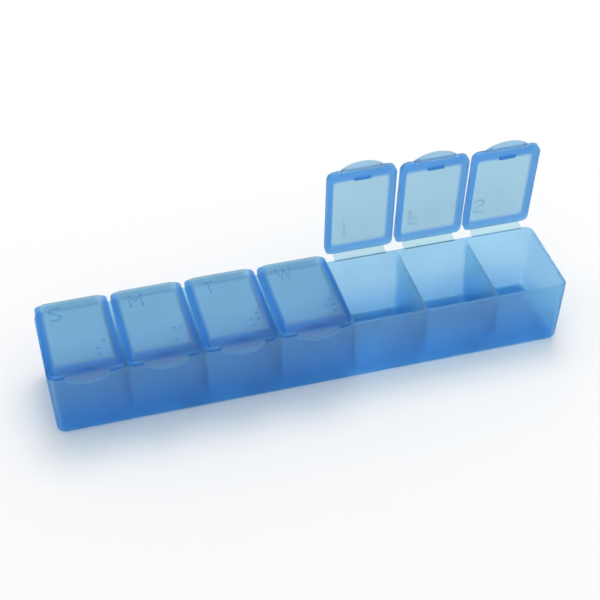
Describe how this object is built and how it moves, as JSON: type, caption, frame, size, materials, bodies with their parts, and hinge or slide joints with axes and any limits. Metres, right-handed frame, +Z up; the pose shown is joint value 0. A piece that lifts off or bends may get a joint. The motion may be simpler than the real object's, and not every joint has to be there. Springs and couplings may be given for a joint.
{
  "type": "pill organizer",
  "caption": "Long divided pill box with a row of domed flip lids, each with a thumb tab and a thin living hinge at the rear; some lids stand open.",
  "frame": {"origin": "centre of the tray's flat underside, on the surface it stands on", "axes": "+X along the row of cells from the first day to the last, +Y towards the hinges, +Z up"},
  "size_m": [0.168, 0.0419, 0.0619],
  "materials": {
    "tray_plastic": "frosted translucent blue",
    "lid_plastic": "frosted translucent blue",
    "hinge_web": "thin pale blue, nearly clear"
  },
  "bodies": {
    "tray": {"tray": "tray_plastic", "hinge_sunday": "hinge_web", "hinge_monday": "hinge_web", "hinge_tuesday": "hinge_web", "hinge_wednesday": "hinge_web", "hinge_thursday": "hinge_web", "hinge_friday": "hinge_web", "hinge_saturday": "hinge_web"},
    "lid_sunday": {"lid_sunday": "lid_plastic"},
    "lid_monday": {"lid_monday": "lid_plastic"},
    "lid_tuesday": {"lid_tuesday": "lid_plastic"},
    "lid_wednesday": {"lid_wednesday": "lid_plastic"},
    "lid_thursday": {"lid_thursday": "lid_plastic"},
    "lid_friday": {"lid_friday": "lid_plastic"},
    "lid_saturday": {"lid_saturday": "lid_plastic"}
  },
  "joints": [
    {"name": "lid_sunday_hinge", "type": "hinge", "parent": "tray", "child": "lid_sunday", "pos_m": [-0.072, 0.0181, 0.0236], "axis": [-1, 0, 0], "range_deg": [0, 178], "deforming": ["hinge_sunday"]},
    {"name": "lid_monday_hinge", "type": "hinge", "parent": "tray", "child": "lid_monday", "pos_m": [-0.048, 0.0181, 0.0236], "axis": [-1, 0, 0], "range_deg": [0, 178], "deforming": ["hinge_monday"]},
    {"name": "lid_tuesday_hinge", "type": "hinge", "parent": "tray", "child": "lid_tuesday", "pos_m": [-0.024, 0.0181, 0.0236], "axis": [-1, 0, 0], "range_deg": [0, 178], "deforming": ["hinge_tuesday"]},
    {"name": "lid_wednesday_hinge", "type": "hinge", "parent": "tray", "child": "lid_wednesday", "pos_m": [0, 0.0181, 0.0236], "axis": [-1, 0, 0], "range_deg": [0, 178], "deforming": ["hinge_wednesday"]},
    {"name": "lid_thursday_hinge", "type": "hinge", "parent": "tray", "child": "lid_thursday", "pos_m": [0.024, 0.0181, 0.0236], "axis": [-1, 0, 0], "range_deg": [-86, 92], "deforming": ["hinge_thursday"]},
    {"name": "lid_friday_hinge", "type": "hinge", "parent": "tray", "child": "lid_friday", "pos_m": [0.048, 0.0181, 0.0236], "axis": [-1, 0, 0], "range_deg": [-84, 94], "deforming": ["hinge_friday"]},
    {"name": "lid_saturday_hinge", "type": "hinge", "parent": "tray", "child": "lid_saturday", "pos_m": [0.072, 0.0181, 0.0236], "axis": [-1, 0, 0], "range_deg": [-83, 95], "deforming": ["hinge_saturday"]}
  ]
}
